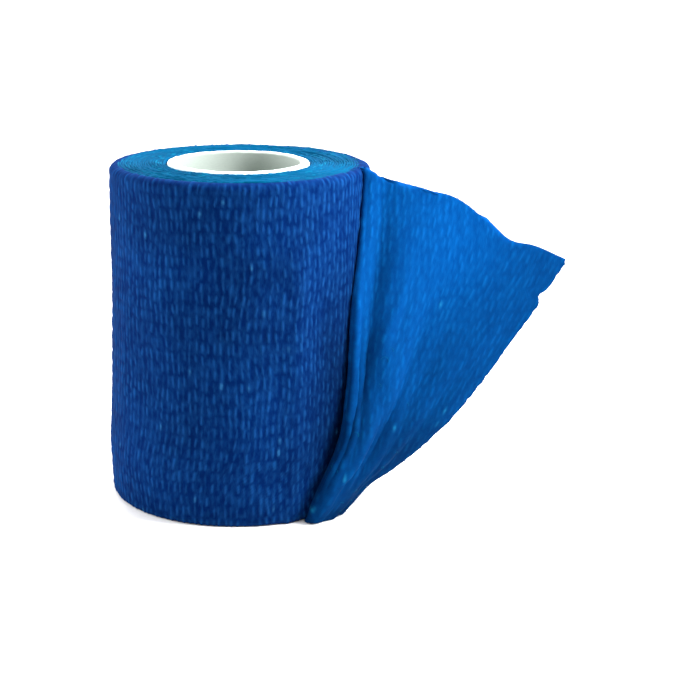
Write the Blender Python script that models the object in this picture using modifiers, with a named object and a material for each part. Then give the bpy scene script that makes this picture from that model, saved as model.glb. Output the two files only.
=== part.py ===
"""Cohesive bandage roll, standing on its end, with its free end peeled back.

One strip of crepe cloth is wound on a paper core. The outer turn runs clockwise, seen from above. It lifts
off the roll along a slanting line at the front right, bends back on itself, and ends in a slanting cut. The
cut's lower corner stays by the roll's foot while its upper corner stands out to the right.

Every row of the cloth is one lengthwise thread line: it goes once round the roll, out along the back of the
loose end, and back along its front. The solid is a loft of such rows, from the foot of the roll to its top.
"""

import math

import bpy
import numpy as np

MM = 0.001

# The strip and the roll
CLOTH_WIDTH = 75.0 * MM
CLOTH_THICKNESS = 1.0 * MM
ROLL_RADIUS = 28.8 * MM
TOP_ROUNDING = 1.6 * MM
FOOT_ROUNDING = 0.8 * MM
CORE_RADIUS = 15.7 * MM
CORE_WALL = 2.1 * MM
CORE_PROUD = 0.3 * MM
CORE_GAP = 0.3 * MM
CORE_EDGE = 0.4 * MM

# The slack turns near the foot bulge, more on the left. Columns in mm: height, radius of the outer turn, and
# how far its centre lies left of the axis
ROLL_SHAPE = (
    (0, 28.9, 0.5),
    (12, 29.2, 0.5),
    (25, 28.9, 0.2),
    (40, 28.8, 0.0),
    (75, 28.8, 0.0),
)

# The cut end, from its lower corner to its upper one, in the roll's own frame: axis upright, +Y away from
# the front. Columns in mm: height in the cloth, x, y, z
CUT_END = (
    (0, 22.0, -21.6, 0.4),
    (5, 25.6, -19.2, 3.6),
    (9, 28.3, -17.2, 5.9),
    (16.5, 34.5, -15.0, 9.6),
    (31, 46.2, -12.2, 18.7),
    (54, 60.7, -8.7, 36.8),
    (66, 67.4, -7.7, 46.5),
    (75, 72.0, -7.0, 54.6),
)

# The roll's axis stands left of the origin, which is under the middle of the whole part
AXIS_X = -(CUT_END[-1][1] * MM - ROLL_RADIUS) / 2

# Where the outer turn lifts off. Columns: height up the roll in mm, angle round it in degrees from +X, how
# strongly in mm the cloth runs on and outwards before it bends back in a loop, and how far before the cut, in
# mm, it is straight again
LIFT_LINE = (
    (0, -57, 2.0, 3.5, 2.0),
    (4, -55, 5.0, 7.0, 3.0),
    (9, -51, 9.5, 9.0, 4.0),
    (16, -42, 14.0, 8.5, 6.0),
    (27, -37, 12.0, 5.0, 8.0),
    (46, -34, 2.0, 3.0, 10.0),
    (60, -26, 1.0, 2.5, 12.0),
    (75, -18, 1.0, 2.5, 14.0),
)

# Folds of the loose end, each fanning up from the roll's foot. Columns: height in the cloth in mm, place
# along the loose end from 0 at the roll to 1 at the cut, half width in the same share, and in mm the rise
# towards the front and the lift upwards
FOLDS = {
    "hollow beside the roll": (
        (12, 0.16, 0.08, 0.0, 0.0),
        (20, 0.21, 0.08, -0.5, 0.0),
        (30, 0.28, 0.085, -1.7, 0.0),
        (42, 0.27, 0.08, -2.1, 0.0),
        (55, 0.25, 0.08, -1.6, 0.0),
        (70, 0.22, 0.07, -0.5, 0.0),
    ),
    "pleat's ridge": (
        (0, 0.40, 0.12, 0.1, 0.0),
        (8, 0.36, 0.11, 0.7, 0.0),
        (14, 0.40, 0.09, 1.2, 0.0),
        (28, 0.48, 0.09, 1.3, 0.0),
        (48, 0.38, 0.11, 0.9, 0.3),
        (75, 0.48, 0.17, -1.3, 2.6),
    ),
    "pleat's hollow": (
        (0, 0.50, 0.12, -0.1, 0.0),
        (8, 0.46, 0.10, -0.6, 0.0),
        (14, 0.53, 0.08, -1.2, 0.0),
        (24, 0.57, 0.08, -1.3, 0.0),
        (34, 0.60, 0.08, -1.1, 0.0),
        (50, 0.60, 0.09, -0.6, -0.3),
        (75, 0.68, 0.08, 1.0, -0.8),
    ),
}

# Rows up the cloth, closer at both rims, and columns round the roll and along the loose end, closer at
# its bend
ROWS_IN_MM = (0, 0.5, 1.8, 4.5, 8, 12, 17, 23, 30, 37, 44, 51, 58, 64, 69, 73.2, 74.5, 75)
ROW_HEIGHTS = tuple(h * MM for h in ROWS_IN_MM)
ROLL_COLUMNS = 64
END_SHARES = np.array((0, 1, 2.2, 4, 6.5, 9.5, 13, 17, 21.5, 26.5, 32, 38, 45, 53, 62, 72, 85, 100)) / 100
END_COLUMNS = len(END_SHARES) - 1
MIDDLE_ANGLE = -20.0

# The folds set in over this share of the loose end, and the bottom row is level over its first columns
FOLDS_START = 0.08
LEVEL_COLUMNS = 4

# Where the loose end folds right back, it clears the roll by OFF_WALL from this share of its length on
HAIRPIN = 0.25
OFF_WALL = 0.5 * MM
UP = np.array((0.0, 0.0, 1.0))


def through(rows, column, x):
    """A smooth curve through one column of a table, read at x. The table's first column is the position."""
    xs = np.array([row[0] for row in rows])
    ys = np.array([row[column] for row in rows])
    slopes = np.gradient(ys, xs)
    x = np.clip(x, xs[0], xs[-1])
    i = np.clip(np.searchsorted(xs, x) - 1, 0, len(xs) - 2)
    step = xs[i + 1] - xs[i]
    t = (x - xs[i]) / step
    rise = ys[i + 1] - ys[i]
    bend = t * (1 - t) * ((1 - t) * (slopes[i] * step - rise) - t * (slopes[i + 1] * step - rise))
    return ys[i] + t * rise + bend


def inset(depth, rounding):
    """How far a rounded edge draws the wall in, at this depth below the edge."""
    left = max(rounding - depth, 0)
    return rounding - math.sqrt(rounding**2 - left**2)


def wall_radius(height):
    """The outer turn's radius at this height, in metres."""
    rims = inset(CLOTH_WIDTH - height, TOP_ROUNDING) + inset(height, FOOT_ROUNDING)
    return float(through(ROLL_SHAPE, 1, height / MM)) * MM - rims


def around(radius, angle, height, left=0.0):
    """Points on a circle about the axis, or about a centre left of it, angle in degrees."""
    turn = np.radians(angle)
    x, y = radius * np.cos(turn) - left, radius * np.sin(turn)
    return np.stack(np.broadcast_arrays(x, y, height), axis=-1)


def on_wall(height, angle, under=0.0):
    """Points on the outer turn, or this far under it."""
    left = float(through(ROLL_SHAPE, 2, height / MM)) * MM
    return around(wall_radius(height) - under, angle, height, left)


def roll_row(height):
    """The roll's wall at one height, from under the loose end clockwise to where the outer turn lifts off."""
    share = np.linspace(0, 1, ROLL_COLUMNS + 1)
    lift = through(LIFT_LINE, 1, height / MM)
    near_lift = 0.5 + 0.5 * np.cos(2 * math.pi * share)
    angle = MIDDLE_ANGLE - 360 * share + (lift - MIDDLE_ANGLE) * near_lift
    return on_wall(height, angle, CLOTH_THICKNESS * (1 - share))


def end_row(height):
    """The back of the loose end along one row, from the lift line to the cut."""
    lift, run_on, run_out, straight = (float(through(LIFT_LINE, i, height / MM)) for i in (1, 2, 3, 4))
    start = on_wall(height, lift)
    turn = math.radians(lift)
    onward = np.array((math.sin(turn), -math.cos(turn), 0))
    outward = np.array((math.cos(turn), math.sin(turn), 0))
    stop = np.array([through(CUT_END, column, height / MM) for column in (1, 2, 3)]) * MM
    bend = start + (run_on * onward + run_out * outward) * MM
    into = (stop - bend) / np.linalg.norm(stop - bend)
    t = END_SHARES[:, None]
    handles = (start, bend, stop - straight * MM * into, stop)
    weights = ((1 - t) ** 3, 3 * t * (1 - t) ** 2, 3 * t**2 * (1 - t), t**3)
    return sum(w * h for w, h in zip(weights, handles))


def unit(vectors):
    return vectors / np.linalg.norm(vectors, axis=-1, keepdims=True)


def to_front(surface):
    """Unit vectors from the loose end's rows towards its front, the side that faced the core."""
    along = np.gradient(surface, axis=1)
    across = np.gradient(surface, np.array(ROW_HEIGHTS), axis=0)
    return unit(np.cross(along, across))


def folded(flat):
    """The loose end's rows with the folds raised or sunk in them."""
    heights = np.array(ROW_HEIGHTS) / MM
    rooted = np.clip(END_SHARES / FOLDS_START, 0, 1) ** 2
    front = to_front(flat)
    made = flat.copy()
    for rows in FOLDS.values():
        place, width, rise, lift = (through(rows, column, heights)[:, None] for column in (1, 2, 3, 4))
        swell = (rooted * np.exp(-(((END_SHARES - place) / width) ** 2)) * MM)[..., None]
        made += swell * (rise[..., None] * front + lift[..., None] * UP)
    return made


def clear_of_wall(back):
    """The loose end's rows, held a little off the turns that they fold back over."""
    near = np.clip(END_SHARES / HAIRPIN, 0, 1)
    for height, row in zip(ROW_HEIGHTS, back):
        left = float(through(ROLL_SHAPE, 2, height / MM)) * MM
        from_centre = row[:, :2] + (left, 0)
        radius = np.linalg.norm(from_centre, axis=-1)
        full = wall_radius(np.clip(height, FOOT_ROUNDING, CLOTH_WIDTH - TOP_ROUNDING)) + OFF_WALL
        least = radius[0] + (full - radius[0]) * near
        row[:, :2] = from_centre * np.maximum(least / radius, 1)[:, None] - (left, 0)
    return back


def front_of(back, roll_wall):
    """The loose end's front: its back moved by the cloth's thickness, no lower than the roll's foot, and level
    with the back where the bottom row leaves the roll."""
    front = back + CLOTH_THICKNESS * to_front(back)
    front[:, 0] = roll_wall[:, 0]
    front[..., 2] = np.maximum(front[..., 2], 0)
    front[0, :LEVEL_COLUMNS, 2] = back[0, :LEVEL_COLUMNS, 2]
    return front


def bandage_points():
    """The rows of the bandage, each one closed loop of points, bottom row first."""
    roll_wall = np.stack([roll_row(h) for h in ROW_HEIGHTS])
    back = clear_of_wall(folded(np.stack([end_row(h) for h in ROW_HEIGHTS])))
    front = front_of(back, roll_wall)
    return np.concatenate([roll_wall, back[:, 1:], front[:, :0:-1]], axis=1)


def bandage_faces(rows, columns):
    """Faces of the loft: the walls between rows, the bore, and the two end faces. Points run row by row, and
    the bore's bottom and top loops come last."""
    faces = []
    for row in range(rows - 1):
        for column in range(columns):
            here, beside = row * columns + column, row * columns + (column + 1) % columns
            faces.append((here, here + columns, beside + columns, beside))
    bore_low = rows * columns
    bore_top = bore_low + ROLL_COLUMNS
    for column in range(ROLL_COLUMNS):
        beside = (column + 1) % ROLL_COLUMNS
        faces.append((bore_low + column, bore_low + beside, bore_top + beside, bore_top + column))
    for first, bore, turned in ((0, bore_low, False), ((rows - 1) * columns, bore_top, True)):
        for face in end_face(first, bore, columns):
            faces.append(face[::-1] if turned else face)
    return faces


def end_face(first, bore, columns):
    """One end face of the strip: a ring between wall and bore, then a ribbon along the loose end's edge."""
    last = ROLL_COLUMNS - 1
    ring = [(first + i, first + i + 1, bore + i + 1, bore + i) for i in range(last)]
    ring.append((first + last, first + last + 1, first, bore, bore + last))
    ribbon = []
    for i in range(END_COLUMNS):
        back = first + ROLL_COLUMNS + i
        front = first + (columns - i) % columns
        ribbon.append((back, back + 1, first + columns - i - 1, front))
    return ring + ribbon


def bandage_mesh():
    points = bandage_points()
    rows, columns = points.shape[:2]
    angles = MIDDLE_ANGLE - 360 * np.arange(ROLL_COLUMNS) / ROLL_COLUMNS
    bore = [around(CORE_RADIUS + CORE_GAP, angles, height) for height in (0.0, CLOTH_WIDTH)]
    vertices = np.concatenate([points.reshape(-1, 3), *bore])
    mesh = bpy.data.meshes.new("bandage")
    mesh.from_pydata(vertices.tolist(), [], bandage_faces(rows, columns))
    mesh.validate()
    return mesh


def core_profile():
    """The core's wall as a closed outline in the XZ plane, running down its outer side."""
    outer, inner = CORE_RADIUS, CORE_RADIUS - CORE_WALL
    top, edge = CLOTH_WIDTH + CORE_PROUD, CORE_EDGE
    outline = (
        (outer, top - edge),
        (outer, edge),
        (outer - edge, 0.0),
        (inner + edge, 0.0),
        (inner, edge),
        (inner, top - edge),
        (inner + edge, top),
        (outer - edge, top),
    )
    mesh = bpy.data.meshes.new("core")
    ends = [(i, (i + 1) % len(outline)) for i in range(len(outline))]
    mesh.from_pydata([(x, 0.0, z) for x, z in outline], ends, [])
    return mesh


def material(name, colour, roughness):
    made = bpy.data.materials.new(name)
    made.use_nodes = True
    shader = made.node_tree.nodes["Principled BSDF"]
    shader.inputs["Base Color"].default_value = (*colour, 1.0)
    shader.inputs["Roughness"].default_value = roughness
    shader.inputs["Metallic"].default_value = 0.0
    return made


def add_part(collection, name, mesh, finish):
    part = bpy.data.objects.new(name, mesh)
    part.location.x = AXIS_X
    mesh.materials.append(finish)
    collection.objects.link(part)
    return part


def clear_scene():
    for thing in list(bpy.data.objects):
        bpy.data.objects.remove(thing, do_unlink=True)


def main():
    clear_scene()
    collection = bpy.data.collections.new("cohesive_bandage_roll")
    bpy.context.scene.collection.children.link(collection)

    crepe = material("blue_crepe", (0.004, 0.13, 0.42), 0.85)
    bandage = add_part(collection, "bandage", bandage_mesh(), crepe)
    bandage.data.shade_smooth()
    bandage.data.set_sharp_from_angle(angle=math.radians(40))

    paper = material("core_paper", (0.72, 0.75, 0.72), 0.7)
    core = add_part(collection, "core", core_profile(), paper)
    turned = core.modifiers.new("turned", "SCREW")
    turned.steps = turned.render_steps = ROLL_COLUMNS
    turned.use_merge_vertices = True
    turned.merge_threshold = 0.00001
    turned.use_smooth_shade = True


if __name__ == "__main__":
    main()
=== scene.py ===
"""Looks of the cohesive bandage roll: crepe cloth wound on a paper core, its free end folded back.

Shapes are worked out in millimetres in the roll's own frame, its axis upright, and set in the row frame when
each piece is made. The cloth has its own coordinates: `along`, the distance along the strip in mm, and
`height` across it, from 0 at the roll's foot to 75 at its top. The crepe's ribs run across the strip. On the
roll they keep to these coordinates, and on the loose end they fan out from the fold.
"""

import math

import bpy
import numpy as np
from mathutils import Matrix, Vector


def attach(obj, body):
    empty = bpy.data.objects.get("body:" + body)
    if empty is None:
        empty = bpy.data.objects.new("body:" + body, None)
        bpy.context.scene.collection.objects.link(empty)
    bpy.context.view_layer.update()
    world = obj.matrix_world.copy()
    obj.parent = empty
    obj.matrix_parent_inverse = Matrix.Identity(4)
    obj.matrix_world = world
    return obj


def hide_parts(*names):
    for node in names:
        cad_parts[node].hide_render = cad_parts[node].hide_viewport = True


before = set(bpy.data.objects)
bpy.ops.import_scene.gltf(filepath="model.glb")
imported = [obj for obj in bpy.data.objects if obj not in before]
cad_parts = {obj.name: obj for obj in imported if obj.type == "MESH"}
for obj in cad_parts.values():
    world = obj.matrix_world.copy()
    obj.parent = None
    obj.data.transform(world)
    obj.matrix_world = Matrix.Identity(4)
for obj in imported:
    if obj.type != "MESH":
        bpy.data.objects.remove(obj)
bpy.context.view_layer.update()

MM = 0.001

# The strip and the roll, as in the CAD
WIDTH = 75.0
ROLL_RADIUS = 28.8
TOP_ROUNDING = 1.6
FOOT_ROUNDING = 0.8
CORE_RADIUS = 15.7
CORE_WALL = 2.1
CORE_PROUD = 0.3
CORE_GAP = 0.3
MIDDLE_ANGLE = -20.0
FOLDS_START = 0.08
HAIRPIN = 0.25
UP = np.array((0.0, 0.0, 1.0))

# How round the core's rims are, how far the loose end keeps off the wall, and the heights all cloth keeps to
CORE_EDGE = 0.45
OFF_WALL = 0.45
LOWEST = 0.02
HIGHEST = WIDTH + 4.0

# The cloth's thickness, the outer turn's step, and the pitch of the turns' edges
CLOTH = 0.62
TURN_STEP = 0.66
TURN_PITCH = 0.56

# The crepe's ribs: pitch along the strip and across it, half width, height on the outer and the inner face,
# and the part of their relief that lies under the cloth's smooth surface
RIB_PITCH = 1.45
RIB_ROW = 2.6
RIB_WIDTH = 0.25
RIB_DEPTH = 0.24
RIB_DEPTH_INSIDE = 0.14
RIB_SUNK = 0.35

# Loose unevenness in mm: of the outer turn, of the cut, and of the loose end's pleats and rumples
WALL_UNEVEN = 0.18
CUT_UNEVEN = 0.22
PLEATS = 0.20
RUMPLES = 0.22

# Height, radius of the outer turn, and how far its centre lies left of the axis
ROLL_SHAPE = (
    (0, 28.9, 0.5),
    (12, 29.2, 0.5),
    (25, 28.9, 0.2),
    (40, 28.8, 0.0),
    (75, 28.8, 0.0),
)

# Height in the cloth, x, y, z of the cut end
CUT_END = (
    (0, 22.0, -21.6, 0.4),
    (5, 25.6, -19.2, 3.6),
    (9, 28.3, -17.2, 5.9),
    (16.5, 34.5, -15.0, 9.6),
    (31, 46.2, -12.2, 18.7),
    (54, 60.7, -8.7, 36.8),
    (66, 67.4, -7.7, 46.5),
    (75, 72.0, -7.0, 54.6),
)
AXIS_X = -(CUT_END[-1][1] - ROLL_RADIUS) / 2

# Height, angle where the outer turn lifts off, run-on, run outwards, straight stretch before the cut. It lies
# nearer to the photo's crease than the CAD's does
LIFT_LINE = (
    (0, -57, 2.0, 3.5, 2.0),
    (4, -54, 5.0, 7.0, 3.0),
    (9, -48, 8.0, 8.0, 4.0),
    (16, -38.5, 10.0, 7.0, 6.0),
    (27, -32.5, 7.0, 4.0, 8.0),
    (46, -29.5, 1.5, 0.8, 10.0),
    (60, -22, 0.8, 0.5, 12.0),
    (75, -15.5, 0.8, 0.5, 14.0),
)

# Folds of the loose end, the hollow beside the roll and the pleat's ridge and hollow: height, place and half
# width as shares of its length, rise to the front, lift upwards
FOLDS = (
    (
        (12, 0.16, 0.08, 0.0, 0.0),
        (20, 0.21, 0.08, -0.5, 0.0),
        (30, 0.28, 0.085, -1.1, 0.0),
        (42, 0.27, 0.08, -1.4, 0.0),
        (55, 0.25, 0.08, -1.1, 0.0),
        (70, 0.22, 0.07, -0.5, 0.0),
    ),
    (
        (0, 0.40, 0.12, 0.1, 0.0),
        (8, 0.36, 0.11, 0.7, 0.0),
        (14, 0.40, 0.09, 1.2, 0.0),
        (28, 0.48, 0.09, 1.3, 0.0),
        (48, 0.38, 0.11, 0.9, 0.3),
        (75, 0.54, 0.14, -0.8, 3.3),
    ),
    (
        (0, 0.50, 0.12, -0.1, 0.0),
        (8, 0.46, 0.10, -0.6, 0.0),
        (14, 0.53, 0.08, -1.2, 0.0),
        (24, 0.57, 0.08, -1.3, 0.0),
        (34, 0.60, 0.08, -1.1, 0.0),
        (50, 0.60, 0.09, -0.6, -0.3),
        (75, 0.735, 0.075, 0.6, -2.3),
    ),
)

# Height and x of the fold's left edge, by which the ribs of the loose end lean
FOLD_LINE = ((0, 15.0), (9, 17.5), (16, 20.5), (27, 22.5), (46, 24.5), (60, 26.0), (75, 27.5))

# Soft swells of the outer turn: angle in degrees, half width, rise in mm, and the heights between which they
# run, with the stretch over which they fade
WALL_SWELLS = (
    (-64, 6.0, 0.65, -10, 66),
    (-49, 6.0, -0.60, 5, 60),
    (-112, 14.0, -0.25, 10, 70),
    (-112, 9.0, 0.20, 0, 30),
    (-150, 8.0, 0.22, 10, 55),
    (160, 9.0, -0.20, 20, 70),
    (95, 10.0, 0.24, 5, 60),
    (40, 8.0, -0.18, 10, 50),
    (2, 9.0, 0.35, 58, 100),
)
SWELL_FADE = 14

# Small notch in the cut edge: height, half width and depth in mm
CUT_NOTCH = (66.0, 1.6, 1.2)

# How finely the meshes are divided
WALL_COLUMNS = 610
END_COLUMNS = 170
WALL_ROWS = 120
RING_COLUMNS = 480
RING_STEPS = 76
CORE_COLUMNS = 192

# How deep the end faces' rings stand in the roll, and how deep its bore starts
RING_DEPTH = 1.4
BORE_INSET = 0.9

# Threads: how many stand out of the cut, how many curl on the loose end, and how low they may lie
CUT_THREADS = 70
CURLS = 14
THREAD_LOWEST = 0.1

# The cloth's UVs: how many mm make one, and where they start
UV_SPAN = 260
UV_START = 5

# Crepe colours: groove, rib and speck, and the sheen. The ribs' lighter colour is partly painted sheen, and
# the specks are painted glints. The inside crepe is a painted lighter copy for the loose end's face, and the
# edges' crepe is painted more cyan for the strong light from above
CREPES = {
    "blue_crepe": ((0.0001, 0.0095, 0.064), (0.004, 0.043, 0.165), (0.03, 0.16, 0.34), 0.006),
    "blue_crepe_inside_lit": ((0.0001, 0.027, 0.126), (0.0008, 0.056, 0.208), (0.01, 0.17, 0.33), 0.003),
    # Painted light: the edges' crepe is tinted more cyan for the strong light from above on the end faces
    "blue_crepe_edges": ((0.0001, 0.022, 0.070), (0.0004, 0.062, 0.138), (0.004, 0.17, 0.28), 0.0),
}

# How much a tone of 1 lightens the crepe. The tone holds random cloudiness and also painted shade and light
TONE_STRENGTH = 0.16

# The core's colours, on its rims and inside
PAPER_RIM = (0.74, 0.88, 0.90, 1)
PAPER_INSIDE = (0.30, 0.345, 0.315, 1)

# Lights: name, place and aim in metres, size, power
LIGHTS = (
    ("above", (0.02, 0.10, 0.55), (-0.02, 0, 0.05), 0.30, 4.5),
    ("upper_right", (0.18, -0.05, 0.20), (0.01, 0, 0.05), 0.09, 1.9),
    ("left", (-0.40, 0.05, 0.18), (-0.03, 0, 0.04), 0.25, 2.2),
    ("backdrop", (0, 1.7, 1.3), (0, 1.5, 0), 1.6, 75.0),
)

# The light from all around, and half the floor's side in metres
WORLD_STRENGTH = 0.55
FLOOR_HALF = 6.0

# The photograph's camera, as fitted to the roll's outline: the picture's side, the focal length and where the
# axis stands across the picture, in pixels; the angle looked down, in degrees; the camera's distance in front
# of the axis and its height above the floor, in metres; and the sensor's width in mm
PICTURE = 680
FOCAL_LENGTH = 1600
AXIS_ACROSS = 238.33
LOOKS_DOWN = 15.42
CAMERA_FRONT = 0.3510
CAMERA_HEIGHT = 0.1311
SENSOR = 36


def through(rows, column, x):
    """A smooth curve through one column of a table, read at x. The table's first column is the position."""
    xs = np.array([row[0] for row in rows], float)
    ys = np.array([row[column] for row in rows], float)
    slopes = np.gradient(ys, xs)
    x = np.clip(x, xs[0], xs[-1])
    i = np.clip(np.searchsorted(xs, x) - 1, 0, len(xs) - 2)
    step = xs[i + 1] - xs[i]
    t = (x - xs[i]) / step
    rise = ys[i + 1] - ys[i]
    bend = t * (1 - t) * ((1 - t) * (slopes[i] * step - rise) - t * (slopes[i + 1] * step - rise))
    return ys[i] + t * rise + bend


def smooth(x, low, high):
    t = np.clip((x - low) / (high - low), 0, 1)
    return t * t * (3 - 2 * t)


def hashed(i, j, seed):
    """A fixed pseudo-random number from 0 to 1 for each pair of whole numbers."""
    value = np.sin(i * 127.1 + j * 311.7 + seed * 74.7) * 43758.5453
    return value - np.floor(value)


def noise(x, y, seed):
    """Smooth value noise from -1 to 1."""
    x, y = np.broadcast_arrays(np.asarray(x, float), np.asarray(y, float))
    i, j = np.floor(x), np.floor(y)
    s, t = smooth(x - i, 0, 1), smooth(y - j, 0, 1)
    low = hashed(i, j, seed) * (1 - s) + hashed(i + 1, j, seed) * s
    high = hashed(i, j + 1, seed) * (1 - s) + hashed(i + 1, j + 1, seed) * s
    return 2 * (low * (1 - t) + high * t) - 1


def crepe(along, height, lean, seed):
    """Relief of the crepe from 0 to 1, and its bright specks. Its ribs are short dashes across the strip, one
    to a cell, each with its own place, length, bend and strength. `lean` is their slope, along the strip for
    each mm up."""
    warp = 0.5 * noise(along / 9.0, height / 11.0, seed)
    column = np.floor(along / RIB_PITCH + warp)
    relief = speck = 0 * warp
    for i in (column - 1, column, column + 1):
        shift = 0.42 * hashed(i, 3, seed + 3) + 0.25 * noise(along / 12.0, height / 9.0, seed + 2)
        row = np.floor(height / RIB_ROW + shift)
        for j in (row - 1, row, row + 1):
            own = [hashed(i, j, seed + k) - 0.5 for k in range(4, 12)]
            beside = along - (i + 0.5 + 0.34 * own[0] - warp) * RIB_PITCH
            up = height - (j + 0.5 + 0.16 * own[1] - shift) * RIB_ROW
            bent = beside - (lean + 0.30 * own[2]) * up - 0.9 * own[3] * (up / RIB_ROW) ** 2
            ends = 1 - smooth(np.abs(up) / RIB_ROW, 0.22 + 0.10 * own[4], 0.50 + 0.14 * own[4])
            dash = np.exp(-((bent / (RIB_WIDTH * (1 + 0.5 * own[5]))) ** 2)) * ends * (0.62 + 0.76 * own[6])
            relief = np.maximum(relief, dash)
            # Pale specks on the rib crests: painted glints
            speck = np.maximum(speck, (own[7] > 0.486) * dash * np.exp(-((up / 0.45) ** 2)))
    mottle = 0.17 * noise(along / 0.9, height / 1.3, seed + 13)
    mottle = mottle + 0.09 * noise(along / 0.45, height / 0.6, seed + 14)
    return np.clip(0.16 + 0.84 * relief + mottle, 0, 1), 0.7 * speck


def fan_lean(x, z):
    """Slope of the loose end's ribs: upright by the fold, leaning out towards the cut and at the foot."""
    beside_fold = np.maximum(x - np.interp(z, *zip(*FOLD_LINE)), 0)
    return 0.05 + 0.48 * (1 - np.exp(-beside_fold / 22)) + 0.40 * (1 - smooth(z, 4, 20))


def inset(depth, rounding):
    """How far a rounded edge draws the wall in, at this depth below the edge."""
    left = np.maximum(rounding - depth, 0)
    return rounding - np.sqrt(np.maximum(rounding**2 - left**2, 0))


def wall_radius(height):
    rims = inset(WIDTH - height, TOP_ROUNDING), inset(height, FOOT_ROUNDING)
    return through(ROLL_SHAPE, 1, height) - rims[0] - rims[1]


def on_wall(height, angle, under=0.0):
    """Points on the outer turn, or this far under it, angle in degrees."""
    turn = np.radians(angle)
    radius = wall_radius(height) - under
    x = radius * np.cos(turn) - through(ROLL_SHAPE, 2, height)
    y = radius * np.sin(turn)
    return np.stack(np.broadcast_arrays(x, y, height), axis=-1)


def unit(vectors):
    return vectors / np.maximum(np.linalg.norm(vectors, axis=-1, keepdims=True), 1e-12)


def row_heights():
    """Heights of the cloth's rows, with some more of them at both rims."""
    rims = (0.12, 0.35, 0.7, 1.1, WIDTH - 1.1, WIDTH - 0.7, WIDTH - 0.35, WIDTH - 0.12)
    return np.unique(np.concatenate([np.linspace(0, WIDTH, WALL_ROWS), rims]))


def wall_angles(heights):
    """Share of each wall column, and its angle at each height, clockwise to the lift line."""
    share = np.linspace(0, 1, WALL_COLUMNS + 1)
    near_lift = 0.5 + 0.5 * np.cos(2 * math.pi * share)
    lift = through(LIFT_LINE, 1, heights)[:, None]
    return share, MIDDLE_ANGLE - 360 * share + (lift - MIDDLE_ANGLE) * near_lift


def wall_swell(angle, height):
    """How far the outer turn swells out at this angle and height."""
    total = WALL_UNEVEN * noise(angle / 24 + 40, height / 16, 31)
    for place, half, rise, low, high in WALL_SWELLS:
        apart = (angle - place + 180) % 360 - 180
        within = smooth(height, low, low + SWELL_FADE) * (1 - smooth(height, high - SWELL_FADE, high))
        total = total + rise * within * np.exp(-((apart / half) ** 2))
    return total


def loose_rows(heights):
    """The back of the loose end, one row for each height, from the lift line to the cut."""
    rows = []
    for height in heights:
        lift, run_on, run_out, straight = (float(through(LIFT_LINE, i, height)) for i in (1, 2, 3, 4))
        start = on_wall(height, lift)
        turn = math.radians(lift)
        onward = np.array((math.sin(turn), -math.cos(turn), 0))
        outward = np.array((math.cos(turn), math.sin(turn), 0))
        stop = np.array([through(CUT_END, column, height) for column in (1, 2, 3)], float)
        bend = start + run_on * onward + run_out * outward
        into = (stop - bend) / np.linalg.norm(stop - bend)
        length = np.linalg.norm(stop - bend)
        place, half, depth = CUT_NOTCH
        uneven = CUT_UNEVEN * float(noise(height / 0.9, 3.0, 51))
        short = depth * math.exp(-(((height - place) / half) ** 2)) + uneven
        t = np.linspace(0, 1, END_COLUMNS + 1)
        t = (t * (1 - short / length * t**6))[:, None]
        handles = (start, bend, stop - straight * into, stop)
        weights = ((1 - t) ** 3, 3 * t * (1 - t) ** 2, 3 * t**2 * (1 - t), t**3)
        rows.append(sum(w * h for w, h in zip(weights, handles)))
    return np.stack(rows)


def to_front(surface, heights):
    """Unit vectors from the cloth's rows towards the side that faced the core."""
    along = np.gradient(surface, axis=1)
    across = np.gradient(surface, heights, axis=0)
    return unit(np.cross(along, across))


def folded(flat, heights):
    """The loose end with its folds, and the finer wrinkles that fan up from the foot."""
    share = np.linspace(0, 1, flat.shape[1])
    rooted = np.clip(share / FOLDS_START, 0, 1) ** 2
    front = to_front(flat, heights)
    made = flat.copy()
    for rows in FOLDS:
        place, width, rise, lift = (through(rows, column, heights)[:, None] for column in (1, 2, 3, 4))
        swell = (rooted * np.exp(-(((share - place) / width) ** 2)))[..., None]
        made += swell * (rise[..., None] * front + lift[..., None] * UP)
    tall = heights[:, None]
    fade = smooth(tall, 4, 14) * (1 - smooth(tall, 38, 64))
    phase = 2 * math.pi * (7.5 * share + 0.5 * noise(share * 6, tall / 18, 61))
    fine = PLEATS * fade * rooted * np.cos(phase) + RUMPLES * rooted * noise(share * 7, tall / 11, 62)
    return made + fine[..., None] * front


def clear_of_wall(back, heights):
    """The loose end held a little off the turns that it folds back over."""
    near = np.clip(np.linspace(0, 1, back.shape[1]) / HAIRPIN, 0, 1)
    for height, row in zip(heights, back):
        left = float(through(ROLL_SHAPE, 2, height))
        centred = row[:, :2] + (left, 0)
        radius = np.linalg.norm(centred, axis=-1)
        full = wall_radius(np.clip(height, FOOT_ROUNDING, WIDTH - TOP_ROUNDING)) + OFF_WALL
        least = radius[0] + (full - radius[0]) * near
        row[:, :2] = centred * np.maximum(least / radius, 1)[:, None] - (left, 0)
    return back


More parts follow.
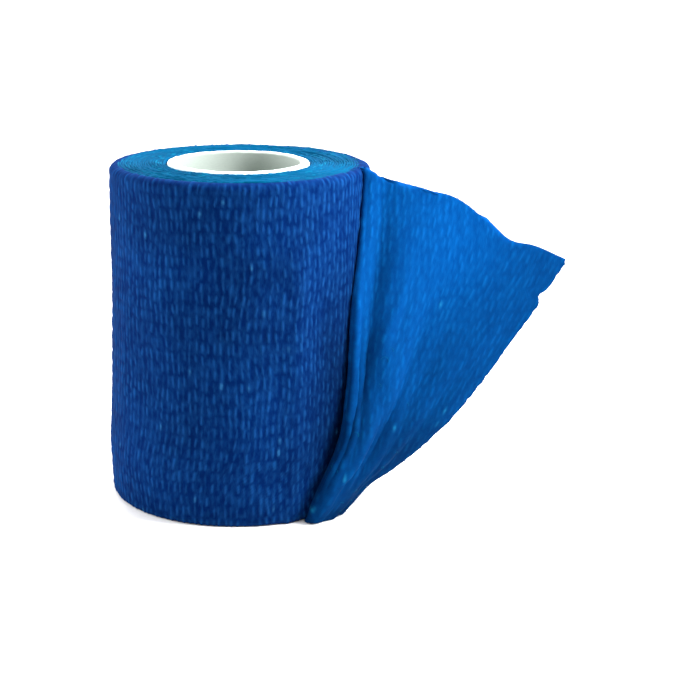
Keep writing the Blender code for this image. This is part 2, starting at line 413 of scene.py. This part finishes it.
def cloth_surfaces():
    """The outer turn and the loose end as one surface, so that they meet exactly at the lift line."""
    heights = row_heights()
    tall = heights[:, None]
    share, angle = wall_angles(heights)
    wall = on_wall(tall, angle, TURN_STEP * (1 - share))
    swell = wall_swell(angle, tall) * smooth(np.minimum(share, 1 - share), 0.0, 0.03)
    outwards = np.stack([np.cos(np.radians(angle)), np.sin(np.radians(angle)), 0 * angle], axis=-1)
    wall += swell[..., None] * outwards
    back = clear_of_wall(folded(loose_rows(heights), heights), heights)
    whole = np.concatenate([wall, back[:, 1:]], axis=1)
    steps = np.linalg.norm(np.diff(back, axis=1), axis=-1)
    on_roll = -ROLL_RADIUS * np.radians(angle)
    off_roll = on_roll[:, -1:] + np.cumsum(steps, axis=1)
    along = np.concatenate([on_roll, off_roll], axis=1)
    front = to_front(whole, heights)
    on_end = np.concatenate([0 * share, np.linspace(0, 1, END_COLUMNS + 1)[1:]])[None, :]
    fan = whole[..., 0], whole[..., 2], fan_lean(whole[..., 0], whole[..., 2])
    blend = smooth(on_end, 0.0, 0.08)
    on_strip, on_fan = crepe(along, tall + 0 * along, 0.0, 1), crepe(*fan, 31)
    relief, speck = (a + blend * (b - a) for a, b in zip(on_strip, on_fan))
    raised = whole - ((relief - RIB_SUNK) * RIB_DEPTH)[..., None] * front
    relief_in, speck_in = crepe(*fan, 2)
    inner = whole + (CLOTH + (relief_in - RIB_SUNK) * RIB_DEPTH_INSIDE)[..., None] * front
    for points in (raised, inner):
        points[..., 2] = np.clip(points[..., 2], LOWEST, HIGHEST)
    return heights, along, raised, inner, (relief, speck), (relief_in, speck_in)


class Shell:
    """Collects points with their reliefs, and faces with their UVs, for one mesh."""

    def __init__(self):
        self.points, self.values, self.quads, self.quad_uvs = [], [], [], []
        self.others, self.other_uvs, self.count = [], [], 0

    def add(self, points, relief=0.4, speck=0.0, tone=0.0):
        shape = points.shape[:-1]
        size = int(np.prod(shape))
        self.points.append(points.reshape(-1, 3))
        values = [np.broadcast_to(v, shape).reshape(-1) for v in (relief, speck, tone)]
        self.values.append(np.stack(values, axis=-1))
        ids = np.arange(self.count, self.count + size).reshape(shape)
        self.count += size
        return ids

    def grid(self, ids, uv):
        corners = [(slice(None, -1), slice(None, -1)), (slice(None, -1), slice(1, None)),
                   (slice(1, None), slice(1, None)), (slice(1, None), slice(None, -1))]
        self.quads.append(np.stack([ids[c] for c in corners], axis=-1).reshape(-1, 4))
        self.quad_uvs.append(np.stack([uv[c] for c in corners], axis=-2).reshape(-1, 4, 2))

    def polygon(self, ids, uv):
        self.others.append([int(i) for i in ids])
        self.other_uvs.append(np.asarray(uv, float))

    def make(self, name, finish, sharp=60):
        points = np.concatenate(self.points) * MM + (AXIS_X * MM, 0, 0)
        quads = np.concatenate(self.quads)
        mesh = bpy.data.meshes.new(name)
        mesh.from_pydata(points.tolist(), [], quads.tolist() + self.others)
        uv = np.concatenate([np.concatenate(self.quad_uvs).reshape(-1, 2), *self.other_uvs])
        layer = mesh.uv_layers.new(name="UVMap")
        layer.data.foreach_set("uv", uv.astype(np.float32).ravel())
        values = np.concatenate(self.values)
        for column, label in enumerate(("relief", "speck", "tone")):
            attribute = mesh.attributes.new(label, "FLOAT", "POINT")
            attribute.data.foreach_set("value", values[:, column].astype(np.float32))
        mesh.materials.append(finish)
        mesh.shade_smooth()
        mesh.set_sharp_from_angle(angle=math.radians(sharp))
        piece = bpy.data.objects.new(name, mesh)
        bpy.context.scene.collection.objects.link(piece)
        return piece


def uv_of(along, height, off=(0.0, 0.0)):
    """UVs from cloth coordinates."""
    along, height = np.broadcast_arrays(along, height)
    return np.stack([(along + UV_START) / UV_SPAN + off[0], height / UV_SPAN + off[1]], axis=-1)


def tone_of(along, height, seed):
    """Soft cloudiness of the cloth's shade, from -1 to 1."""
    return 0.6 * noise(along / 14, height / 11, seed) + 0.4 * noise(along / 4, height / 7, seed + 1)


def painted_shade_by_fold(angle, height):
    """Painted shade on the outer turn beside the fold: its colour darkened where the loose end's fold shadows
    the hollow of the wall.
    """
    apart = through(LIFT_LINE, 1, height) - angle
    within = smooth(height, 4, 18) * (1 - smooth(height, 40, 66))
    return -3.4 * within * np.exp(-((apart / 22) ** 2))


def painted_light_of_face(share, height):
    """Painted light and shade on the loose end's face: darker to its foot, its cut and its hollow, with a
    painted highlight below the top edge.
    """
    spread = 1.0 - 3.2 * (1 - smooth(height, 2, 62)) - 2.0 * smooth(share, 0.3, 0.9)
    # Painted shade in the fold's hollow
    hollow = np.exp(-(((share - 0.29) / 0.07) ** 2)) * smooth(height, 14, 28) * (1 - smooth(height, 52, 70))
    # Painted highlight below the top edge
    light = np.exp(-(((share - 0.58) / 0.14) ** 2) - ((height - 68) / 10) ** 2)
    return spread - 1.4 * hollow + 2.4 * light


def step_uv(row):
    """UVs of one face of the outer turn's step."""
    low, high = 0.5 + row / 400, 0.5 + (row + 1) / 400
    return [(0.9, low), (0.9, high), (0.91, high), (0.91, low)]


def wound_roll(cloth, finish):
    """The wound turns with the outer one's crepe: one closed solid with its bore."""
    heights, along, raised, _, (relief, speck), _ = cloth
    last = WALL_COLUMNS
    shell = Shell()
    tall = heights[:, None]
    # The tone is the cloth's random cloudiness plus the painted shade beside the fold
    tone = tone_of(along[:, : last + 1], tall, 5) + painted_shade_by_fold(wall_angles(heights)[1], tall)
    wall = shell.add(raised[:, : last + 1], relief[:, : last + 1], speck[:, : last + 1], tone)
    shell.grid(wall, uv_of(along[:, : last + 1], tall))
    angles = np.radians(MIDDLE_ANGLE - 360 * np.arange(last) / last)
    for row in range(len(heights) - 1):
        shell.polygon((wall[row, last], wall[row, 0], wall[row + 1, 0], wall[row + 1, last]), step_uv(row))
    loops = []
    bore = CORE_RADIUS + CORE_GAP
    for height in (BORE_INSET, WIDTH - BORE_INSET):
        ring = np.stack([bore * np.cos(angles), bore * np.sin(angles), np.full(last, height)], axis=-1)
        loops.append(shell.add(ring, 0.2))
    around = np.arange(last + 1) % last
    flat = uv_of(np.linspace(0, 180, last + 1)[None, :], np.array((120.0, 150.0))[:, None])
    shell.grid(np.stack([loops[1][around], loops[0][around]]), flat)
    ends = (0, loops[0], True, 160), (len(heights) - 1, loops[1], False, 180)
    for row, loop, turned, place in ends:
        outer = wall[row]
        edge = np.stack([outer[:last], loop])
        ids = edge if turned else edge[::-1]
        uv = uv_of(np.linspace(0, 180, last)[None, :], np.array((place, place + 14.0))[:, None])
        shell.grid(ids, uv)
        closing = (outer[last - 1], outer[last], outer[0], loop[0], loop[last - 1])
        closing_uv = [(0.95, place / UV_SPAN + 0.002 * k) for k in range(5)]
        shell.polygon(closing[::-1] if not turned else closing, closing_uv)
    return shell.make("wound_roll", finish)


def loose_end(cloth, finish):
    """The loose end as a closed thin sheet, from the lift line to the cut."""
    heights, along, raised, inner, (relief, speck), (relief_in, speck_in) = cloth
    own = slice(WALL_COLUMNS, None)
    tall = heights[:, None]
    along = along[:, own]
    shell = Shell()
    # The back shares the painted-lighter inside crepe; its tone is lowered by 1.6, which darkens it by about
    # a quarter
    back = shell.add(raised[:, own], relief[:, own], speck[:, own], tone_of(along, tall, 5) - 1.6)
    share = np.linspace(0, 1, END_COLUMNS + 1)[None, :]
    # The face's tone is random cloudiness plus its painted light and shade
    tone = 0.6 * tone_of(along, tall, 9) + painted_light_of_face(share, tall)
    front = shell.add(inner[:, own], 0.15 + 0.85 * relief_in[:, own], speck_in[:, own], tone)
    shell.grid(back, uv_of(along, tall))
    shell.grid(front[::-1], uv_of(along, tall, (0.0, 0.35))[::-1])
    middle = (raised[:, own] + inner[:, own]) / 2
    edges = []
    for row, way in ((0, -0.05), (-1, 0.12)):
        rim = middle[row] + way * UP
        rim[:, 2] = np.maximum(rim[:, 2], LOWEST)
        edges.append(shell.add(rim, 0.7))
    outward = unit(middle[:, -1] - middle[:, -4])
    cut = shell.add(middle[1:-1, -1] + 0.12 * outward[1:-1], 0.75)
    cut = np.concatenate([edges[0][-1:], cut, edges[1][-1:]])
    along_edge = np.linspace(0, 50, middle.shape[1])
    for place, strip in (
        (190, np.stack([front[0], edges[0]])), (194, np.stack([edges[0], back[0]])),
        (200, np.stack([back[-1], edges[1]])), (204, np.stack([edges[1], front[-1]])),
    ):
        shell.grid(strip, uv_of(along_edge[None, :], np.array((place, place + 1.0))[:, None]))
    for place, first, second in ((50.0, back[:, -1], cut), (54.0, cut, front[:, -1])):
        strip_uv = uv_of(np.array((place, place + 1.0))[None, :], tall + 170)
        shell.grid(np.stack([first, second], axis=1), strip_uv)
    root = np.stack([front[:, 0], back[:, 0]], axis=1)
    shell.grid(root, uv_of(np.array((70.0, 71.0))[None, :], tall + 170))
    ends = (front[0, 0], edges[0][0], back[0, 0]), (back[-1, 0], edges[1][0], front[-1, 0])
    for k, end in enumerate(ends):
        shell.polygon(end, [(0.97, 0.1 * k), (0.975, 0.1 * k), (0.972, 0.1 * k + 0.004)])
    return shell.make("loose_end", finish)


def turn_edges(name, top, finish):
    """The turns' edges on one end face: a flat ring with the spiral's fuzzy, uneven ridges standing on it."""
    share = np.linspace(0, 1, RING_STEPS)[:, None]
    angle = np.linspace(0, 2 * math.pi, RING_COLUMNS + 1)[None, :-1]
    height = WIDTH if top else 0.0
    rim = float(wall_radius(height)) - CLOTH + (0.15 if top else 0.1)
    start = CORE_RADIUS + CORE_GAP - 0.05
    radius = start + share * (rim - start) + 0 * angle
    degrees = np.degrees(angle)
    spun = 14 * angle / (2 * math.pi)
    uneven = 0.16 * noise(spun + 3, radius / 2.2, 71) + 0.10 * noise(spun * 3, radius / 1.1, 72)
    turn = (radius - start + uneven) / TURN_PITCH + degrees / 360
    number = np.floor(turn)
    inside = turn - number
    strip = number - degrees / 360
    ridge = np.sin(math.pi * inside) ** 0.7
    lift = 0.22 * noise(strip * 9, 0.5, 73) + 0.12 * noise(strip * 37, 0.5, 74)
    ribs = 0.10 * noise(strip * 2 * math.pi * 22 / RIB_PITCH * 1.6, number * 0.37, 75)
    tall = 0.30 * ridge + (lift + ribs) * ridge
    tall = tall * smooth(share, 0, 0.03)
    relief = np.clip(0.40 + 0.8 * tall, 0, 1)
    flecks = (noise(strip * 60, number * 1.3, 76) > 0.55) * ridge * 0.4
    flecks = flecks * (0.4 + 0.6 * (1 - smooth(share, 0.15, 0.6)))
    tone = noise(spun, radius / 5, 77)
    z = height - 0.25 + tall if top else 0.30 - tall * 0.6
    z = np.clip(z, LOWEST, WIDTH + 0.6)
    ring = np.stack([radius * np.cos(angle), radius * np.sin(angle), z], axis=-1)
    deep = WIDTH - RING_DEPTH if top else RING_DEPTH
    shell = Shell()
    around = np.arange(RING_COLUMNS + 1) % RING_COLUMNS
    face = shell.add(ring, relief, flecks, tone)
    flat = ring[[0, -1]].copy()
    flat[..., 2] = deep
    under = shell.add(flat, 0.3)
    loops = np.concatenate([face, under[1:], under[:1], face[:1]], axis=0)[:, around]
    if top:
        loops = loops[::-1]
    across = np.concatenate([radius[:, 0], [radius[-1, 0] + 2, radius[-1, 0] + 5, radius[-1, 0] + 7]])
    uv = uv_of(np.linspace(0, 180, RING_COLUMNS + 1)[None, :], across[:, None] * 3)
    shell.grid(loops, uv[::-1] if top else uv)
    return shell.make(name, finish)


def core_tube(finish):
    """The paper core: a tube with softly worn rims."""
    outer, inner, top = CORE_RADIUS, CORE_RADIUS - CORE_WALL, WIDTH + CORE_PROUD
    bend = CORE_EDGE
    turns = np.linspace(0, math.pi / 2, 5)
    profile, inside = [], []
    for centre_r, centre_z, first in (
        (outer - bend, top - bend, 0), (inner + bend, top - bend, 1),
        (inner + bend, bend, 2), (outer - bend, bend, 3),
    ):
        for turn in turns:
            spin = turn + first * math.pi / 2
            profile.append((centre_r + bend * math.cos(spin), centre_z + bend * math.sin(spin)))
            inside.append(1.0 if first in (1, 2) else 0.0)
        if first == 1:
            for z in np.linspace(top - 3, 3, 14):
                profile.append((inner, z))
                inside.append(1.0)
        if first == 3:
            for z in np.linspace(3, top - 3, 4):
                profile.append((outer, z))
                inside.append(0.0)
    profile, inside = np.array(profile), np.array(inside)
    angle = np.linspace(0, 2 * math.pi, CORE_COLUMNS + 1)[None, :-1]
    radius, z = profile[:, :1], profile[:, 1:]
    near_rim = smooth(np.abs(z - WIDTH / 2), WIDTH / 2 - 3, WIDTH / 2)
    turned = 12 * angle / (2 * math.pi)
    radius = radius + 0.06 * noise(turned + 2, z / 9, 81) * np.cos(2 * angle) + 0 * angle
    wear = near_rim * (0.08 * noise(turned * 5, 1.0, 82) - 0.05)
    z = np.clip(z + wear * np.sign(z - WIDTH / 2), 0.0, top + 0.1) + 0 * angle
    ring = np.stack([radius * np.cos(angle), radius * np.sin(angle), z], axis=-1)
    shell = Shell()
    ids = shell.add(ring, inside[:, None] + 0 * angle, 0.0, noise(turned, z / 12, 83))
    around = np.arange(CORE_COLUMNS + 1) % CORE_COLUMNS
    loops = np.concatenate([ids, ids[:1]], axis=0)[:, around]
    steps = np.linalg.norm(np.diff(profile, axis=0, append=profile[:1]), axis=1)
    run = np.concatenate([[0], np.cumsum(steps)])
    shell.grid(loops[:, ::-1], uv_of(np.linspace(0, 98, CORE_COLUMNS + 1)[None, ::-1], run[:, None]))
    return shell.make("core_tube", finish, 50)


def tube(shell, path, radius, relief):
    """A thin thread along a path, closed at both ends."""
    ways = unit(np.gradient(path, axis=0))
    reference = np.where(np.abs(ways[:, 2:]) > 0.9, np.array([[1.0, 0, 0]]), UP[None, :])
    side = unit(np.cross(ways, reference))
    other = np.cross(ways, side)
    taper = radius * np.linspace(1.0, 0.6, len(path))[:, None]
    turns = np.arange(5) * 2 * math.pi / 5
    rings = [path + taper * (side * math.cos(turn) + other * math.sin(turn)) for turn in turns]
    ids = shell.add(np.stack(rings, axis=1), relief)
    loop = ids[:, np.arange(6) % 5]
    uv = uv_of(np.linspace(0, 1, 6)[None, :] + 100, np.linspace(0, 3, len(path))[:, None] + 100)
    shell.grid(loop, uv)
    shell.polygon(ids[0][::-1], [(0.99, 0.99)] * 5)
    shell.polygon(ids[-1], [(0.99, 0.99)] * 5)


def frayed_threads(cloth, finish):
    """Threads that stand out of the cut edge, and small curls on the loose end's face."""
    heights, _, raised, inner, _, _ = cloth
    rng = np.random.default_rng(7)
    middle = (raised[:, WALL_COLUMNS:] + inner[:, WALL_COLUMNS:]) / 2
    outward = unit(middle[:, -1] - middle[:, -6])
    shell = Shell()
    for _ in range(CUT_THREADS):
        row = int(rng.integers(2, len(heights) - 2))
        reach = rng.uniform(0.4, 1.1) if rng.random() < 0.85 else rng.uniform(1.2, 2.2)
        drift = rng.normal(0, 0.35, 3)
        t = np.linspace(0, 1, 7)[:, None]
        path = middle[row, -1] + (t - 0.25) * reach * outward[row] + t**2 * reach * drift
        path[:, 2] = np.maximum(path[:, 2], THREAD_LOWEST)
        tube(shell, path, rng.uniform(0.045, 0.08), 0.8)
    front = inner[:, WALL_COLUMNS:]
    normal = to_front(raised, heights)[:, WALL_COLUMNS:]
    for _ in range(CURLS):
        row = int(rng.integers(8, len(heights) - 20) * rng.uniform(0.15, 1.0))
        column = int(rng.integers(20, END_COLUMNS - 10))
        size = rng.uniform(0.3, 0.9)
        sweep = np.linspace(0, rng.uniform(1.4, 3.4), 12)
        along = unit(front[row, column + 5] - front[row, column - 5])
        across = np.cross(normal[row, column], along)
        raise_by = 0.05 + 0.10 * np.sin(np.linspace(0, math.pi, 12))
        path = (front[row, column] + size * (np.cos(sweep) - 1)[:, None] * along
                + size * np.sin(sweep)[:, None] * across + raise_by[:, None] * normal[row, column])
        path[:, 2] = np.maximum(path[:, 2], THREAD_LOWEST)
        tube(shell, path, rng.uniform(0.04, 0.06), 0.95)
    return shell.make("frayed_threads", finish)


def node(tree, kind, **settings):
    """A new node, its sockets linked or set, and its other settings set."""
    made = tree.nodes.new(kind)
    for name, value in settings.items():
        if isinstance(value, bpy.types.NodeSocket):
            tree.links.new(value, made.inputs[name])
        elif name in made.inputs:
            made.inputs[name].default_value = value
        else:
            setattr(made, name, value)
    return made


def math_node(tree, operation, first, second):
    made = tree.nodes.new("ShaderNodeMath")
    made.operation = operation
    for socket, value in zip(made.inputs, (first, second)):
        if isinstance(value, bpy.types.NodeSocket):
            tree.links.new(value, socket)
        else:
            socket.default_value = value
    return made.outputs[0]


def mix_colour(tree, share, first, second):
    made = tree.nodes.new("ShaderNodeMix")
    made.data_type = "RGBA"
    for socket, value in zip((made.inputs[0], made.inputs[6], made.inputs[7]), (share, first, second)):
        if isinstance(value, bpy.types.NodeSocket):
            tree.links.new(value, socket)
        else:
            socket.default_value = value
    return made.outputs[2]


def attribute(tree, name):
    return node(tree, "ShaderNodeAttribute", attribute_name=name).outputs["Fac"]


def started(name):
    made = bpy.data.materials.new(name)
    made.use_nodes = True
    return made, made.node_tree, made.node_tree.nodes["Principled BSDF"]


def grain_of(tree, scale, detail):
    """A fine fibre grain, stretched as its scale says."""
    place = node(tree, "ShaderNodeUVMap", uv_map="UVMap").outputs["UV"]
    fibres = node(tree, "ShaderNodeMapping", Vector=place, Scale=scale).outputs["Vector"]
    made = node(tree, "ShaderNodeTexNoise", Vector=fibres, Scale=1.0, Detail=detail, Roughness=0.6)
    return made.outputs["Fac"]


def crepe_material(name, groove, rib, speck, sheen):
    """Crepe: dark in the grooves, lighter on the ribs partly as painted sheen, with pale specks painted as
    glints and a fine fibre grain.
    """
    made, tree, shader = started(name)
    grain = grain_of(tree, (900, 260, 1), 3.0)
    relief = attribute(tree, "relief")
    fuzz = math_node(tree, "MULTIPLY", math_node(tree, "SUBTRACT", grain, 0.5), 0.45)
    lit = math_node(tree, "ADD", relief, fuzz)
    ramp = node(tree, "ShaderNodeValToRGB", Fac=lit)
    stops = ramp.color_ramp.elements
    stops[0].position, stops[0].color = 0.05, (*groove, 1)
    stops[1].position, stops[1].color = 0.85, (*rib, 1)
    # The tone scales the colour: random cloudiness plus painted shade and light
    tone = math_node(tree, "ADD", math_node(tree, "MULTIPLY", attribute(tree, "tone"), TONE_STRENGTH), 1.0)
    toned = node(tree, "ShaderNodeVectorMath", operation="SCALE")
    tree.links.new(ramp.outputs["Color"], toned.inputs[0])
    tree.links.new(tone, toned.inputs["Scale"])
    colour = mix_colour(tree, attribute(tree, "speck"), toned.outputs[0], (*speck, 1))
    tree.links.new(colour, shader.inputs["Base Color"])
    rough = math_node(tree, "ADD", math_node(tree, "MULTIPLY", grain, 0.16), 0.74)
    tree.links.new(rough, shader.inputs["Roughness"])
    bump = node(tree, "ShaderNodeBump", Height=grain, Strength=0.35, Distance=0.00012)
    tree.links.new(bump.outputs["Normal"], shader.inputs["Normal"])
    shader.inputs["Specular IOR Level"].default_value = 0.012
    shader.inputs["Sheen Weight"].default_value = sheen
    shader.inputs["Sheen Roughness"].default_value = 0.5
    shader.inputs["Sheen Tint"].default_value = (0.02, 0.35, 1.0, 1)
    return made


def paper_material():
    """Off-white paper board: paler on the rims than inside, with fibres."""
    made, tree, shader = started("core_board")
    grain = grain_of(tree, (260, 900, 1), 4.0)
    base = mix_colour(tree, attribute(tree, "relief"), PAPER_RIM, PAPER_INSIDE)
    shade = math_node(tree, "ADD", math_node(tree, "MULTIPLY", grain, 0.16), 0.90)
    shade = math_node(tree, "ADD", shade, math_node(tree, "MULTIPLY", attribute(tree, "tone"), 0.05))
    toned = node(tree, "ShaderNodeVectorMath", operation="SCALE")
    tree.links.new(base, toned.inputs[0])
    tree.links.new(shade, toned.inputs["Scale"])
    tree.links.new(toned.outputs[0], shader.inputs["Base Color"])
    rough = math_node(tree, "ADD", math_node(tree, "MULTIPLY", grain, 0.2), 0.68)
    tree.links.new(rough, shader.inputs["Roughness"])
    bump = node(tree, "ShaderNodeBump", Height=grain, Strength=0.25, Distance=0.0001)
    tree.links.new(bump.outputs["Normal"], shader.inputs["Normal"])
    return made


def area_light(name, place, aim, size, power):
    data = bpy.data.lights.new(name, "AREA")
    data.size, data.energy = size, power
    lamp = bpy.data.objects.new(name, data)
    lamp.location = place
    lamp.rotation_euler = (Vector(aim) - Vector(place)).to_track_quat("-Z", "Y").to_euler()
    bpy.context.scene.collection.objects.link(lamp)


def add_stage():
    """Pale floor, soft light from above, left and upper right, and the camera at the photograph's angle."""
    scene = bpy.context.scene
    mesh = bpy.data.meshes.new("floor")
    far = FLOOR_HALF
    mesh.from_pydata([(-far, -far, 0), (far, -far, 0), (far, far, 0), (-far, far, 0)], [], [(0, 1, 2, 3)])
    floor = bpy.data.objects.new("floor", mesh)
    scene.collection.objects.link(floor)
    pale, _, shader = started("pale_floor")
    shader.inputs["Base Color"].default_value = (0.80, 0.80, 0.80, 1)
    shader.inputs["Roughness"].default_value = 0.9
    mesh.materials.append(pale)

    for light in LIGHTS:
        area_light(*light)

    world = bpy.data.worlds.new("studio")
    world.use_nodes = True
    background = world.node_tree.nodes["Background"]
    background.inputs["Color"].default_value = (1, 1, 1, 1)
    background.inputs["Strength"].default_value = WORLD_STRENGTH
    scene.world = world
    scene.view_settings.view_transform = "Standard"

    data = bpy.data.cameras.new("camera")
    data.sensor_width = SENSOR
    data.lens = FOCAL_LENGTH / PICTURE * SENSOR
    data.shift_x = (PICTURE / 2 - AXIS_ACROSS) / PICTURE
    camera = bpy.data.objects.new("camera", data)
    camera.location = (AXIS_X * MM, -CAMERA_FRONT, CAMERA_HEIGHT)
    camera.rotation_euler = (math.radians(90 - LOOKS_DOWN), 0, 0)
    scene.collection.objects.link(camera)
    scene.camera = camera


def main():
    cloth = cloth_surfaces()
    outside, inside, edges = (crepe_material(name, *colours) for name, colours in CREPES.items())

    roll = wound_roll(cloth, outside)
    loose = loose_end(cloth, inside)
    threads = frayed_threads(cloth, edges)
    top_edges = turn_edges("turn_edges_top", True, edges)
    foot_edges = turn_edges("turn_edges_foot", False, edges)
    for piece in (roll, loose, threads, top_edges, foot_edges):
        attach(piece, "root")
        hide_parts("bandage")
    core = core_tube(paper_material())
    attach(core, "root")
    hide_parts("core")

    add_stage()


main()
